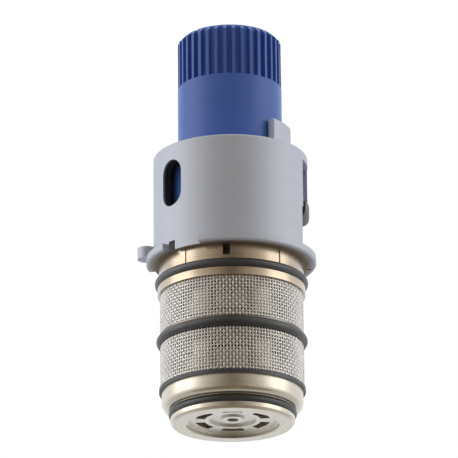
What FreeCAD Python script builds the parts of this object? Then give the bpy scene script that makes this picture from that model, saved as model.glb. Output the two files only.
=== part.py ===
import FreeCAD, Part
import math
import os
import re

import Sketcher

# A temperature mixing cartridge for a bath or shower tap. It stands on its outlet face at z = 0, its
# splined spindle points up, and the side with the narrow window and the flange step faces -Y.
# Lengths are in millimetres and angles in degrees, counted from +X towards +Y.

SIZES = {
    # clearances
    "running_fit": 0.06,
    "press_fit": 0.02,
    "axial_play": 0.1,
    # outlet cap, the screwed lower end of the brass body
    "spout_height": 3.1,
    "spout_radius": 12.95,
    "spout_chamfer": 0.5,
    "outlet_radius": 9.7,
    "outlet_depth": 2.1,
    "cap_height": 3.77,
    "cap_radius": 14.75,
    "cap_round": 1.5,
    "cap_floor": 0.8,
    # seals that lie in grooves of the brass body
    "outlet_seal_wire": 1.55,
    "outlet_seal_radius": 13.35,
    "outlet_seal_height": 1.35,
    "middle_seal_wire": 1.95,
    "middle_seal_radius": 15.82,
    "body_seal_wire": 1.95,
    "body_seal_radius": 16.08,
    "groove_play": 0.05,
    # flat ring under the lower strainer
    "washer_thickness": 0.8,
    "washer_radius": 15.28,
    # woven strainer sleeves
    "strainer_radius": 15.05,
    "strainer_wall": 0.5,
    "lower_strainer_height": 9.25,
    "upper_strainer_height": 8.7,
    "mesh_columns": 40,
    "mesh_rows": 3,
    "mesh_gap_width": 1.5,
    "mesh_gap_height": 1.9,
    "mesh_rim": 0.8,
    # brass body behind the strainers
    "wall_radius": 12.9,
    "land_height": 1.0,
    "port_wall": 2.3,
    "seat_wall": 1.6,
    "thread_radius": 12.4,
    "joint_thread_radius": 12.0,
    "joint_thread_length": 3.4,
    "middle_flange": 0.35,
    "middle_flange_radius": 15.15,
    "port_count": 6,
    "port_angle": 42,
    "port_rim": 1.6,
    "port_sill": 0.2,
    # upper brass body
    "lip_height": 1.6,
    "lip_radius": 15.5,
    "band_height": 3.1,
    "band_step": 1.3,
    "band_raise": 0.2,
    "band_raised_start": -48,
    "band_raised_angle": 99,
    "band_notch_direction": -93.8,
    "band_notch_angle": 5.6,
    "band_notch_height": 2.4,
    "band_notch_depth": 1.8,
    "web_thickness": 4.0,
    "neck_height": 5.5,
    "neck_wall": 2.0,
    # shell
    "shell_height": 23.75,
    "shell_radius": 16.3,
    "shell_wall": 2.1,
    "shell_top_wall": 1.8,
    "flange_step": 1.57,
    "flange_thickness": 1.6,
    "flange_main_start": -112.5,
    "flange_main_angle": 232.5,
    "flange_short_start": -191,
    "flange_short_angle": 48,
    "lug_step": 1.83,
    "lug_radius": 1.95,
    "lug_neck_width": 2.7,
    "lug_height": 2.45,
    "edge_break": 0.3,
    "top_round": 0.5,
    "tab_height": 6.05,
    "tab_gap": 0.35,
    "tab_wall": 1.8,
    "tab_start": -45,
    "tab_angle": 31,
    "tab_chamfer": 0.4,
    "slot_direction": -139.7,
    "slot_width": 5.9,
    "slot_bottom": 9.9,
    "slot_height": 10.2,
    "window_direction": -7.6,
    "window_width": 7.6,
    "window_bottom": 8.2,
    "window_height": 13.4,
    "flat_depth": 1.3,
    "flat_height": 11.1,
    "edge_notch_direction": -139.2,
    "edge_notch_width": 1.95,
    "edge_notch_height": 2.15,
    "dimple_radius": 0.5,
    "dimple_direction": 9,
    "dimple_inset": 1.25,
    "dimple_depth": 0.6,
    # guide sleeve between the brass neck and the spindle collar
    "guide_height": 6.0,
    "guide_wall": 3.1,
    "key_count": 3,
    "key_direction": 60,
    "key_angle": 14,
    "key_side_play": 0.3,
    "keyway_wall": 1.0,
    "snap_height": 3.7,
    "snap_rise": 1.1,
    "snap_step": 0.25,
    "snap_angle": 22,
    "snap_round": 1.8,
    # spindle
    "stem_height": 15.6,
    "collar_inset": 1.3,
    "collar_step": 1.87,
    "collar_gap": 0.2,
    "slip_ring_thickness": 0.35,
    "spline_length": 11.4,
    "spline_step": -0.05,
    "spline_count": 36,
    "spline_depth": 0.9,
    "groove_mouth_share": 0.7,
    "groove_floor_share": 0.54,
    "spline_chamfer": 1.2,
    "index_direction": -134.8,
    "index_angle": 4.4,
    "index_depth": 0.5,
    "index_wall": 1.5,
    "dish_share": 0.64,
    "dish_depth": 5.6,
    "boss_wall": 1.7,
    "boss_height": 4.6,
    "spindle_bore_share": 0.75,
    "spindle_bore_depth": 20.0,
    # threaded insert for the handle screw
    "insert_radius": 2.9,
    "insert_length": 7.6,
    "screw_hole_radius": 1.65,
    "screw_hole_depth": 6.5,
    # lift nut that the spindle's thread raises and lowers
    "nut_length": 18.0,
    "nut_flange_height": 3.2,
    "nut_gap": 1.8,
    "nut_key_step": 0.6,
    "key_tip_play": 0.1,
    "nut_bore_share": 0.69,
    "nut_cap": 2.0,
    "root_depth": 0.5,
    "cut_margin": 1.0,
    "clip_groove_height": 3.1,
    "clip_thickness": 0.6,
    "clip_depth": 0.7,
    "clip_width": 1.9,
    "clip_opening": 50,
    # overload plunger and its spring
    "plunger_head": 1.6,
    "plunger_gap": 0.45,
    "plunger_drop": 9.3,
    "plunger_socket": 2.5,
    "spring_pilot": 2.4,
    "overload_wire": 1.2,
    "overload_gap": 0.6,
    "overload_turns": 5,
    # wax element and its push pin
    "bulb_radius": 5.0,
    "bulb_length": 10.0,
    "element_flange_radius": 6.8,
    "element_flange": 3.0,
    "stem_seal_wire": 1.8,
    "retainer_thickness": 1.0,
    "bulb_play": 0.1,
    "bulb_chamfer": 1.0,
    "element_stem_radius": 3.6,
    "element_stem_rise": 0.8,
    "pin_radius": 1.5,
    "pin_depth": 8.4,
    "pin_reserve": 2.0,
    # mixing slide
    "slide_height": 7.5,
    "slide_overlap": 0.15,
    "slide_wall": 2.15,
    "seat_gap": 0.5,
    "slide_web": 1.6,
    "slide_web_drop": 1.3,
    "slide_port_count": 6,
    "slide_port_angle": 40,
    "slide_rim": 1.8,
    "slide_seal_wire": 1.3,
    # return spring and its guide in the outlet
    "return_wire": 1.3,
    "return_radius": 6.0,
    "return_turns": 5,
    "guide_thickness": 1.1,
    "guide_rim": 1.75,
    "guide_hub_radius": 5.9,
    "guide_arm_angle": 22,
    "guide_arm_count": 6,
    "guide_recess_radius": 4.9,
    "guide_recess_depth": 0.5,
    "guide_boss_radius": 2.4,
    "guide_boss_drop": 0.1,
    "guide_hole_radius": 1.2,
    "outlet_clip_thickness": 0.5,
    "outlet_clip_depth": 0.6,
    "outlet_clip_width": 1.1,
}

# Places and sizes that follow from the ones above. A name in a formula is a size or another place.
PLACES = {
    "cap_top": "spout_height + cap_height",
    "washer_top": "cap_top + washer_thickness",
    "lower_strainer_top": "washer_top + lower_strainer_height",
    "middle_groove_top": "lower_strainer_top + middle_seal_wire + 2 * groove_play",
    "middle_top": "middle_groove_top + middle_flange",
    "upper_strainer_top": "middle_top + upper_strainer_height",
    "lip_top": "upper_strainer_top + lip_height",
    "body_groove_top": "lip_top + body_seal_wire + 2 * groove_play",
    "shell_bottom": "body_groove_top + band_height",
    "shell_top": "shell_bottom + shell_height",
    "shell_ceiling": "shell_top - shell_top_wall",
    "shell_bore": "shell_radius - shell_wall",
    "flange_radius": "shell_radius + flange_step",
    "flange_root": "(shell_bore + shell_radius) / 2",
    "lug_centre": "flange_radius + lug_step - lug_radius",
    "band_radius": "shell_radius - band_step",
    "band_raised_radius": "band_radius + band_raise",
    "neck_bore_radius": "shell_bore - neck_wall",
    "neck_top": "shell_bottom + neck_height",
    "guide_top": "neck_top + guide_height",
    "guide_bore_radius": "shell_bore - guide_wall",
    "key_radius": "shell_bore - keyway_wall",
    "collar_radius": "shell_bore - collar_inset",
    "stem_radius": "collar_radius - collar_step",
    "spline_radius": "stem_radius + spline_step",
    "spline_pitch": "2 * pi * spline_radius / spline_count",
    "dish_radius": "spline_radius * dish_share",
    "boss_radius": "insert_radius + boss_wall",
    "tab_inner_radius": "stem_radius + tab_gap",
    "tab_outer_radius": "tab_inner_radius + tab_wall",
    "spindle_bore_radius": "stem_radius * spindle_bore_share",
    "collar_bottom": "guide_top + collar_gap",
    "collar_top": "shell_ceiling - slip_ring_thickness - axial_play",
    "spline_bottom": "shell_top + stem_height",
    "spindle_top": "spline_bottom + spline_length",
    "land_radius": "strainer_radius - strainer_wall - press_fit",
    "seat_radius": "wall_radius - port_wall",
    "mixing_radius": "seat_radius - seat_wall",
    "slide_radius": "seat_radius + slide_overlap",
    "slide_bore_radius": "slide_radius - slide_wall",
    "slide_hub_radius": "slide_bore_radius - slide_rim",
    "slide_centre": "(lower_strainer_top + middle_groove_top) / 2",
    "slide_bottom": "slide_centre - slide_height / 2",
    "slide_top": "slide_centre + slide_height / 2",
    "web_bottom": "slide_bottom + slide_web_drop",
    "web_top": "web_bottom + slide_web",
    "slide_bore": "slide_radius + running_fit",
    "upper_seat": "slide_top + seat_gap",
    "lower_seat": "slide_bottom - seat_gap",
    "joint_bottom": "middle_top - joint_thread_length",
    "inlet_web_top": "upper_strainer_top + web_thickness",
    "stem_bore": "element_stem_radius + running_fit",
    "stem_seal_floor": "stem_bore + stem_seal_wire + groove_play",
    "retainer_bottom": "inlet_web_top - retainer_thickness",
    "stem_seal_bottom": "retainer_bottom - stem_seal_wire - 2 * groove_play",
    "nut_flange_top": "guide_top - nut_gap",
    "nut_bottom": "nut_flange_top - nut_flange_height",
    "nut_top": "nut_bottom + nut_length",
    "nut_radius": "spindle_bore_radius - running_fit",
    "nut_flange_radius": "guide_bore_radius - running_fit",
    "nut_bore_radius": "nut_radius * nut_bore_share",
    "overload_radius": "nut_bore_radius - overload_gap - overload_wire / 2",
    "plunger_radius": "overload_radius - overload_wire / 2 - plunger_gap",
    "clip_bottom": "nut_bottom + clip_groove_height",
    "clip_top": "clip_bottom + clip_thickness",
    "head_bottom": "clip_top + groove_play",
    "head_top": "head_bottom + plunger_head",
    "plunger_bottom": "head_bottom - plunger_drop",
    "spring_ceiling": "nut_top - nut_cap",
    "element_bottom": "web_top - bulb_length",
    "element_flange_top": "web_top + element_flange",
    "element_top": "inlet_web_top + element_stem_rise",
    "pin_top": "plunger_bottom + plunger_socket",
    "pin_bottom": "element_top - pin_depth",
    "guide_bottom": "outlet_depth - guide_thickness",
    "outlet_clip_bottom": "guide_bottom - outlet_clip_thickness",
    "guide_disc_radius": "outlet_radius - running_fit",
}

CIRCLE = 360
TOLERANCE = 0.001

document = FreeCAD.newDocument("Cartridge")
sheet = document.addObject("Spreadsheet::Sheet", "Sizes")
for row, (name, size) in enumerate(SIZES.items(), start=1):
    sheet.set(f"A{row}", name)
    sheet.set(f"B{row}", str(size))
    sheet.setAlias(f"B{row}", name)
document.recompute()


def formula(text):
    """Turns a formula in plain names into an expression on the sheet."""

    def spelled(match):
        word = match.group()
        if word in PLACES:
            return f"({formula(PLACES[word])})"
        return f"Sizes.{word}" if word in SIZES else word

    return re.sub(r"[a-z]\w+", spelled, text)


def number(text):
    """The present value of a formula, for the first draft of a sketch."""
    return float(sheet.evalExpression(formula(text)))


def new_body(label):
    body = document.addObject("PartDesign::Body", label)
    body.Label = label
    return body


def new_sketch(body, name, role, height=None, direction=None):
    """A sketch on one of the body's own planes, raised or turned about Z when asked."""
    sketch = body.newObject("Sketcher::SketchObject", name)
    plane = next(f for f in body.Origin.OriginFeatures if f.Role == role)
    sketch.AttachmentSupport = [(plane, "")]
    sketch.MapMode = "FlatFace"
    if height is not None:
        sketch.setExpression("AttachmentOffset.Base.z", formula(height))
    if direction is not None:
        turn = FreeCAD.Rotation(FreeCAD.Vector(0, 1, 0), number(direction))
        sketch.AttachmentOffset = FreeCAD.Placement(FreeCAD.Vector(0, 0, 0), turn)
        sketch.setExpression("AttachmentOffset.Rotation.Angle", formula(direction))
    return sketch


def bind(sketch, kind, *where, to):
    """Adds one dimension to a sketch and ties it to a formula."""
    start = number(to)
    if kind == "Angle":
        start = math.radians(start)
    index = sketch.addConstraint(Sketcher.Constraint(kind, *where, start))
    sketch.setExpression(f"Constraints[{index}]", formula(to))


def fix_point(sketch, edge, end, across, up):
    """Ties a point of a sketch to its two distances from the sketch's origin."""
    for kind, axis, to in (("DistanceX", -2, across), ("DistanceY", -1, up)):
        if to == "0":
            sketch.addConstraint(Sketcher.Constraint("PointOnObject", edge, end, axis))
        else:
            bind(sketch, kind, -1, 1, edge, end, to=to)


def draw_outline(sketch, corners):
    """A closed outline of straight lines through corners given as two formulas each."""
    points = [FreeCAD.Vector(number(across), number(up), 0) for across, up in corners]
    first = sketch.GeometryCount
    count = len(points)
    for index in range(count):
        line = Part.LineSegment(points[index], points[(index + 1) % count])
        sketch.addGeometry(line, False)
    for index in range(count):
        after = first + (index + 1) % count
        sketch.addConstraint(Sketcher.Constraint("Coincident", first + index, 2, after, 1))
    for index, (across, up) in enumerate(corners):
        fix_point(sketch, first + index, 1, across, up)


def revolve(body, name, corners):
    """Turns a half section, given as radius and height, about the Z axis."""
    sketch = new_sketch(body, name + "Outline", "XZ_Plane")
    draw_outline(sketch, corners)
    feature = body.newObject("PartDesign::Revolution", name)
    feature.Profile = sketch
    feature.ReferenceAxis = (sketch, ["V_Axis"])
    feature.Angle = CIRCLE
    return feature


def draw_circle(sketch, across, up, radius):
    centre = FreeCAD.Vector(number(across), number(up), 0)
    circle = Part.Circle(centre, FreeCAD.Vector(0, 0, 1), number(radius))
    edge = sketch.addGeometry(circle, False)
    bind(sketch, "Radius", edge, to=radius)
    fix_point(sketch, edge, 3, across, up)


def draw_sector(sketch, inner, outer, start, span):
    """A piece of a ring about the origin, from the start angle over its span."""
    first = sketch.GeometryCount
    low = math.radians(number(start))
    high = low + math.radians(number(span))
    radii = (number(inner), number(outer))
    for radius in radii:
        circle = Part.Circle(FreeCAD.Vector(0, 0, 0), FreeCAD.Vector(0, 0, 1), radius)
        sketch.addGeometry(Part.ArcOfCircle(circle, low, high), False)
    for angle in (low, high):
        along = FreeCAD.Vector(math.cos(angle), math.sin(angle), 0)
        sketch.addGeometry(Part.LineSegment(along * radii[0], along * radii[1]), False)
    for arc, radius in ((first, inner), (first + 1, outer)):
        sketch.addConstraint(Sketcher.Constraint("Coincident", arc, 3, -1, 1))
        bind(sketch, "Radius", arc, to=radius)
    for line, end, angle in ((first + 2, 1, start), (first + 3, 2, f"{start} + {span}")):
        sketch.addConstraint(Sketcher.Constraint("Coincident", line, 1, first, end))
        sketch.addConstraint(Sketcher.Constraint("Coincident", line, 2, first + 1, end))
        sketch.addConstraint(Sketcher.Constraint("PointOnObject", -1, 1, line))
        bind(sketch, "Angle", line, to=angle)


def draw_block(sketch, left, right, low, high):
    draw_outline(sketch, [(left, low), (right, low), (right, high), (left, high)])


def draw_slot(sketch, width, bottom, height):
    """An upright slot with round ends, centred on the sketch's vertical axis."""
    radius = number(width) / 2
    low = number(bottom) + radius
    high = number(bottom) + number(height) - radius
    along = FreeCAD.Vector(0, 0, 1)
    lower = Part.Circle(FreeCAD.Vector(0, low, 0), along, radius)
    upper = Part.Circle(FreeCAD.Vector(0, high, 0), along, radius)
    sketch.addGeometry(Part.ArcOfCircle(lower, math.pi, 2 * math.pi), False)
    right = (FreeCAD.Vector(radius, low, 0), FreeCAD.Vector(radius, high, 0))
    sketch.addGeometry(Part.LineSegment(*right), False)
    sketch.addGeometry(Part.ArcOfCircle(upper, 0, math.pi), False)
    left = (FreeCAD.Vector(-radius, high, 0), FreeCAD.Vector(-radius, low, 0))
    sketch.addGeometry(Part.LineSegment(*left), False)
    for edge, end, after, start in ((0, 2, 1, 1), (1, 2, 2, 1), (2, 2, 3, 1), (3, 2, 0, 1)):
        sketch.addConstraint(Sketcher.Constraint("Tangent", edge, end, after, start))
    sketch.addConstraint(Sketcher.Constraint("PointOnObject", 0, 3, -2))
    bind(sketch, "DistanceY", -1, 1, 0, 3, to=f"{bottom} + {width} / 2")
    bind(sketch, "DistanceY", 0, 3, 2, 3, to=f"{height} - {width}")
    bind(sketch, "Radius", 0, to=f"{width} / 2")


def extrude(body, kind, name, sketch, length, reverse=False):
    """A pad or a pocket of a sketch, over a length given as a formula."""
    feature = body.newObject(f"PartDesign::{kind}", name)
    feature.Profile = sketch
    feature.Reversed = reverse
    feature.setExpression("Length", formula(length))
    return feature


def pad_up(body, name, sketch, length):
    return extrude(body, "Pad", name, sketch, length)


def cut_up(body, name, sketch, length):
    """A pocket that runs from its sketch along the sketch's own normal."""
    return extrude(body, "Pocket", name, sketch, length, reverse=True)


def repeat(body, name, feature, count):
    """Copies a feature round the Z axis."""
    pattern = body.newObject("PartDesign::PolarPattern", name)
    pattern.Originals = [feature]
    axis = next(f for f in body.Origin.OriginFeatures if f.Role == "Z_Axis")
    pattern.Axis = (axis, [""])
    pattern.Angle = CIRCLE
    pattern.setExpression("Occurrences", formula(count))
    body.Tip = pattern
    return pattern


def soften(body, kind, name, radius, height, size):
    """Rounds or chamfers the circular edge that lies at a radius and a height."""
    document.recompute()
    solid = body.Tip
    names = []
    for index, edge in enumerate(solid.Shape.Edges, start=1):
        curve = edge.Curve
        if not isinstance(curve, Part.Circle):
            continue
        same_radius = abs(curve.Radius - number(radius)) < TOLERANCE
        same_height = abs(curve.Center.z - number(height)) < TOLERANCE
        on_axis = math.hypot(curve.Center.x, curve.Center.y) < TOLERANCE
        if same_radius and same_height and on_axis:
            names.append(f"Edge{index}")
    feature = body.newObject(f"PartDesign::{kind}", name)
    feature.Base = (solid, names)
    feature.setExpression("Size" if kind == "Chamfer" else "Radius", formula(size))
    return feature


def seal(label, outer, wire, centre):
    """A rubber ring of round section, made as a torus."""
    ring = document.addObject("Part::Torus", label)
    ring.Label = label
    ring.setExpression("Radius1", formula(f"{outer} - {wire} / 2"))
    ring.setExpression("Radius2", formula(f"{wire} / 2"))
    ring.setExpression("Placement.Base.z", formula(centre))


def coil(label, radius, wire, bottom, top, turns):
    """A helical compression spring of round wire between two heights."""
    body = new_body(label)
    sketch = new_sketch(body, label + "Wire", "XZ_Plane")
    draw_circle(sketch, radius, f"{bottom} + {wire} / 2", f"{wire} / 2")
    feature = body.newObject("PartDesign::AdditiveHelix", label + "Coil")
    feature.Profile = sketch
    feature.ReferenceAxis = (sketch, ["V_Axis"])
    feature.Mode = 1
    feature.setExpression("Turns", formula(turns))
    feature.setExpression("Pitch", formula(f"(({top}) - ({bottom}) - {wire}) / {turns}"))


def cut_ports(body, bottom, height):
    """Water ports through the wall behind a strainer, evenly spaced."""
    sketch = new_sketch(body, "PortOutline", "XY_Plane", height=bottom)
    draw_sector(sketch, "seat_radius", "strainer_radius", "-90 - port_angle / 2", "port_angle")
    port = cut_up(body, "Port", sketch, height)
    repeat(body, "Ports", port, "port_count")


def outlet_cap():
    """The screwed lower end of the brass body, with the outlet bore and the outlet seal's groove."""
    body = new_body("outlet_cap")
    groove_floor = "outlet_seal_radius - outlet_seal_wire - press_fit"
    groove_top = "outlet_seal_height + outlet_seal_wire + 2 * groove_play"
    clip_groove = "outlet_radius + outlet_clip_depth + groove_play"
    thread_bore = "thread_radius + press_fit"
    floor_top = "spout_height + cap_floor"
    revolve(body, "CapTurning", [
        ("outlet_radius", "0"),
        ("spout_radius - spout_chamfer", "0"),
        ("spout_radius", "spout_chamfer"),
        ("spout_radius", "outlet_seal_height"),
        (groove_floor, "outlet_seal_height"),
        (groove_floor, groove_top),
        ("spout_radius", groove_top),
        ("spout_radius", "spout_height"),
        ("cap_radius", "spout_height"),
        ("cap_radius", "cap_top"),
        (thread_bore, "cap_top"),
        (thread_bore, floor_top),
        ("mixing_radius", floor_top),
        ("mixing_radius", "outlet_depth"),
        (clip_groove, "outlet_depth"),
        (clip_groove, "outlet_clip_bottom - groove_play"),
        ("outlet_radius", "outlet_clip_bottom - groove_play"),
    ])
    soften(body, "Fillet", "CapRound", "cap_radius", "spout_height", "cap_round")


def middle_body():
    """The brass barrel of the lower inlet, with the lower seat and the middle seal's groove."""
    body = new_body("middle_body")
    groove_floor = "middle_seal_radius - middle_seal_wire - press_fit"
    thread_bore = "joint_thread_radius + press_fit"
    revolve(body, "BarrelTurning", [
        ("mixing_radius", "spout_height + cap_floor + axial_play"),
        ("thread_radius", "spout_height + cap_floor + axial_play"),
        ("thread_radius", "washer_top"),
        ("land_radius", "washer_top"),
        ("land_radius", "washer_top + land_height"),
        ("wall_radius", "washer_top + land_height"),
        ("wall_radius", "lower_strainer_top - land_height"),
        ("land_radius", "lower_strainer_top - land_height"),
        ("land_radius", "lower_strainer_top"),
        (groove_floor, "lower_strainer_top"),
        (groove_floor, "middle_groove_top"),
        ("middle_flange_radius", "middle_groove_top"),
        ("middle_flange_radius", "middle_top"),
        (thread_bore, "middle_top"),
        (thread_bore, "joint_bottom - axial_play"),
        ("slide_bore", "joint_bottom - axial_play"),
        ("slide_bore", "lower_seat"),
        ("mixing_radius", "lower_seat"),
    ])
    port_bottom = "washer_top + land_height + port_sill"
    cut_ports(body, port_bottom, f"(lower_strainer_top - port_rim) - ({port_bottom})")


def inlet_body():
    """The upper brass body: neck in the shell, spanner band, seal groove, ports and upper seat."""
    body = new_body("inlet_body")
    groove_floor = "body_seal_radius - body_seal_wire - press_fit"
    neck_radius = "shell_bore - press_fit"
    revolve(body, "InletTurning", [
        ("slide_bore", "joint_bottom"),
        ("joint_thread_radius", "joint_bottom"),
        ("joint_thread_radius", "middle_top"),
        ("land_radius", "middle_top"),
        ("land_radius", "middle_top + land_height"),
        ("wall_radius", "middle_top + land_height"),
        ("wall_radius", "upper_strainer_top - land_height"),
        ("land_radius", "upper_strainer_top - land_height"),
        ("land_radius", "upper_strainer_top"),
        ("lip_radius", "upper_strainer_top"),
        ("lip_radius", "lip_top"),
        (groove_floor, "lip_top"),
        (groove_floor, "body_groove_top"),
        ("band_radius", "body_groove_top"),
        ("band_radius", "shell_bottom"),
        (neck_radius, "shell_bottom"),
        (neck_radius, "neck_top"),
        ("neck_bore_radius", "neck_top"),
        ("neck_bore_radius", "inlet_web_top"),
        ("stem_seal_floor", "inlet_web_top"),
        ("stem_seal_floor", "stem_seal_bottom"),
        ("stem_bore", "stem_seal_bottom"),
        ("stem_bore", "upper_strainer_top"),
        ("mixing_radius", "upper_strainer_top"),
        ("mixing_radius", "upper_seat"),
        ("slide_bore", "upper_seat"),
    ])
    # the band stands proud on its two sides, as spanner grips
    raised = new_sketch(body, "GripOutline", "XY_Plane", height="body_groove_top")
    draw_sector(
        raised, "band_radius - root_depth", "band_raised_radius",
        "band_raised_start", "band_raised_angle",
    )
    grip = pad_up(body, "Grip", raised, "band_height")
    repeat(body, "Grips", grip, "2")
    notch = new_sketch(
        body, "BandNotchOutline", "XY_Plane", height="shell_bottom - band_notch_height"
    )
    draw_sector(
        notch, "band_radius - band_notch_depth", "band_raised_radius + cut_margin",
        "band_notch_direction - band_notch_angle / 2", "band_notch_angle",
    )
    cut_up(body, "BandNotch", notch, "band_notch_height")
    bottom = "middle_top + land_height"
    cut_ports(body, bottom, f"(upper_strainer_top - port_rim) - ({bottom})")


def housing_shell():
    """The grey metal shell, with its stop tab, two windows, broken flange, lug, notch and flat."""
    body = new_body("housing_shell")
    revolve(body, "ShellTurning", [
        ("shell_bore", "shell_bottom"),
        ("shell_radius", "shell_bottom"),
        ("shell_radius", "shell_top"),
        ("stem_radius + running_fit", "shell_top"),
        ("stem_radius + running_fit", "shell_ceiling"),
        ("shell_bore", "shell_ceiling"),
    ])
    soften(body, "Fillet", "TopRound", "shell_radius", "shell_top", "top_round")
    main = new_sketch(body, "MainFlangeOutline", "XY_Plane", height="shell_bottom")
    draw_sector(main, "flange_root", "flange_radius", "flange_main_start", "flange_main_angle")
    pad_up(body, "MainFlange", main, "flange_thickness")
    short = new_sketch(body, "ShortFlangeOutline", "XY_Plane", height="shell_bottom")
    draw_sector(short, "flange_root", "flange_radius", "flange_short_start", "flange_short_angle")
    pad_up(body, "ShortFlange", short, "flange_thickness")
    soften(body, "Chamfer", "FlangeBreak", "flange_radius", "shell_bottom", "edge_break")
    # the lug stands on the short flange: a round nose on a narrower neck
    flange_top = "shell_bottom + flange_thickness"
    neck = new_sketch(body, "LugNeckOutline", "XY_Plane", height=flange_top)
    draw_block(neck, "-lug_centre", "-flange_root", "-lug_neck_width / 2", "lug_neck_width / 2")
    pad_up(body, "LugNeck", neck, "lug_height")
    lug = new_sketch(body, "LugOutline", "XY_Plane", height=flange_top)
    draw_circle(lug, "-lug_centre", "0", "lug_radius")
    pad_up(body, "Lug", lug, "lug_height")
    tab = new_sketch(body, "TabOutline", "XY_Plane", height="shell_top")
    draw_sector(tab, "tab_inner_radius", "tab_outer_radius", "tab_start", "tab_angle")
    pad_up(body, "Tab", tab, "tab_height")
    soften(body, "Chamfer", "TabChamfer", "tab_outer_radius", "shell_top + tab_height", "tab_chamfer")
    slot = new_sketch(body, "SlotOutline", "YZ_Plane", direction="slot_direction")
    draw_slot(slot, "slot_width", "shell_bottom + slot_bottom", "slot_height")
    cut_up(body, "Slot", slot, "flange_radius")
    window = new_sketch(body, "WindowOutline", "YZ_Plane", direction="window_direction")
    low = "shell_bottom + window_bottom"
    draw_block(window, "-window_width / 2", "window_width / 2", low, f"{low} + window_height")
    cut_up(body, "Window", window, "flange_radius")
    notch = new_sketch(body, "EdgeNotchOutline", "YZ_Plane", direction="edge_notch_direction")
    half = "edge_notch_width / 2"
    low = "shell_bottom - cut_margin"
    draw_block(notch, f"-{half}", half, low, "shell_bottom + edge_notch_height")
    cut_up(body, "EdgeNotch", notch, "flange_radius")
    flat = new_sketch(body, "FlatOutline", "XY_Plane", height=flange_top)
    face = "shell_radius - flat_depth"
    draw_block(flat, face, "flange_radius", "-shell_radius / 2", "shell_radius / 2")
    cut_up(body, "Flat", flat, "flat_height - flange_thickness")
    dimple = new_sketch(body, "DimpleOutline", "XY_Plane", height="shell_bottom")
    reach = "(flange_radius - dimple_inset)"
    across = f"{reach} * cos(dimple_direction)"
    draw_circle(dimple, across, f"{reach} * sin(dimple_direction)", "dimple_radius")
    cut_up(body, "Dimple", dimple, "dimple_depth")


def guide_sleeve():
    """The dark plastic sleeve that keys the lift nut and snaps into the shell's larger window."""
    body = new_body("guide_sleeve")
    outside = "shell_bore - press_fit"
    revolve(body, "SleeveTurning", [
        ("guide_bore_radius", "neck_top"),
        (outside, "neck_top"),
        (outside, "guide_top"),
        ("guide_bore_radius", "guide_top"),
    ])
    snap_bottom = "guide_top + snap_rise - snap_height"
    snap = new_sketch(body, "SnapOutline", "XY_Plane", height=snap_bottom)
    start = "window_direction - snap_angle / 2"
    snap_radius = "shell_radius + snap_step"
    draw_sector(snap, "collar_radius + collar_gap", snap_radius, start, "snap_angle")
    pad_up(body, "Snap", snap, "snap_height")
    soften(body, "Fillet", "SnapRound", snap_radius, snap_bottom, "snap_round")
    way = new_sketch(body, "KeywayOutline", "XY_Plane", height="neck_top")
    inside = "guide_bore_radius - cut_margin"
    draw_sector(way, inside, "key_radius", "key_direction - key_angle / 2", "key_angle")
    keyway = cut_up(body, "Keyway", way, "guide_height")
    repeat(body, "Keyways", keyway, "key_count")


def slip_ring():
    """The thin ring on which the spindle collar turns under the shell's top."""
    body = new_body("slip_ring")
    low = "shell_ceiling - slip_ring_thickness"
    revolve(body, "SlipRingTurning", [
        ("stem_radius + axial_play", low),
        ("collar_radius", low),
        ("collar_radius", "shell_ceiling"),
        ("stem_radius + axial_play", "shell_ceiling"),
    ])


def temperature_spindle():
    """The blue plastic spindle: collar, plain stem and splined head, bored for the lift nut."""
    body = new_body("temperature_spindle")
    boss_top = "spindle_top - dish_depth + boss_height"
    bore_top = "collar_bottom + spindle_bore_depth"
    insert_hole = "insert_radius + press_fit"
    revolve(body, "SpindleTurning", [
        ("spindle_bore_radius", "collar_bottom"),
        ("collar_radius", "collar_bottom"),
        ("collar_radius", "collar_top"),
        ("stem_radius", "collar_top"),
        ("stem_radius", "spline_bottom"),
        ("spline_radius", "spline_bottom"),
        ("spline_radius", "spindle_top - spline_chamfer"),
        ("spline_radius - spline_chamfer", "spindle_top"),
        ("dish_radius", "spindle_top"),
        ("dish_radius", "spindle_top - dish_depth"),
        ("boss_radius", "spindle_top - dish_depth"),
        ("boss_radius", boss_top),
        (insert_hole, boss_top),
        (insert_hole, f"{boss_top} - insert_length - press_fit"),
        ("0", f"{boss_top} - insert_length - press_fit"),
        ("0", f"{bore_top} + spindle_bore_radius / 4"),
        ("spindle_bore_radius", bore_top),
    ])
    groove = new_sketch(body, "GrooveOutline", "XY_Plane", height="spline_bottom")
    floor = "spline_radius - spline_depth"
    mouth = "spline_radius + press_fit"
    half_floor = "spline_pitch * groove_floor_share / 2"
    half_mouth = "spline_pitch * groove_mouth_share / 2"
    draw_outline(groove, [
        (floor, f"-{half_floor}"),
        (mouth, f"-{half_mouth}"),
        (mouth, half_mouth),
        (floor, half_floor),
    ])
    cut = cut_up(body, "Groove", groove, "spline_length")
    repeat(body, "Splines", cut, "spline_count")
    # a small notch in the rim marks one position of the handle
    index = new_sketch(body, "IndexOutline", "XY_Plane", height="spindle_top - index_depth")
    inside = "spline_radius - spline_chamfer - index_wall"
    start = "index_direction - index_angle / 2"
    draw_sector(index, inside, "spline_radius + cut_margin", start, "index_angle")
    cut_up(body, "Index", index, "index_depth")


def handle_insert():
    """The brass insert in the spindle's head that takes the handle screw."""
    body = new_body("handle_insert")
    top = "spindle_top - dish_depth + boss_height"
    revolve(body, "InsertTurning", [
        ("0", f"{top} - insert_length"),
        ("insert_radius", f"{top} - insert_length"),
        ("insert_radius", top),
        ("screw_hole_radius", top),
        ("screw_hole_radius", f"{top} - screw_hole_depth"),
        ("0", f"{top} - screw_hole_depth"),
    ])


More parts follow.
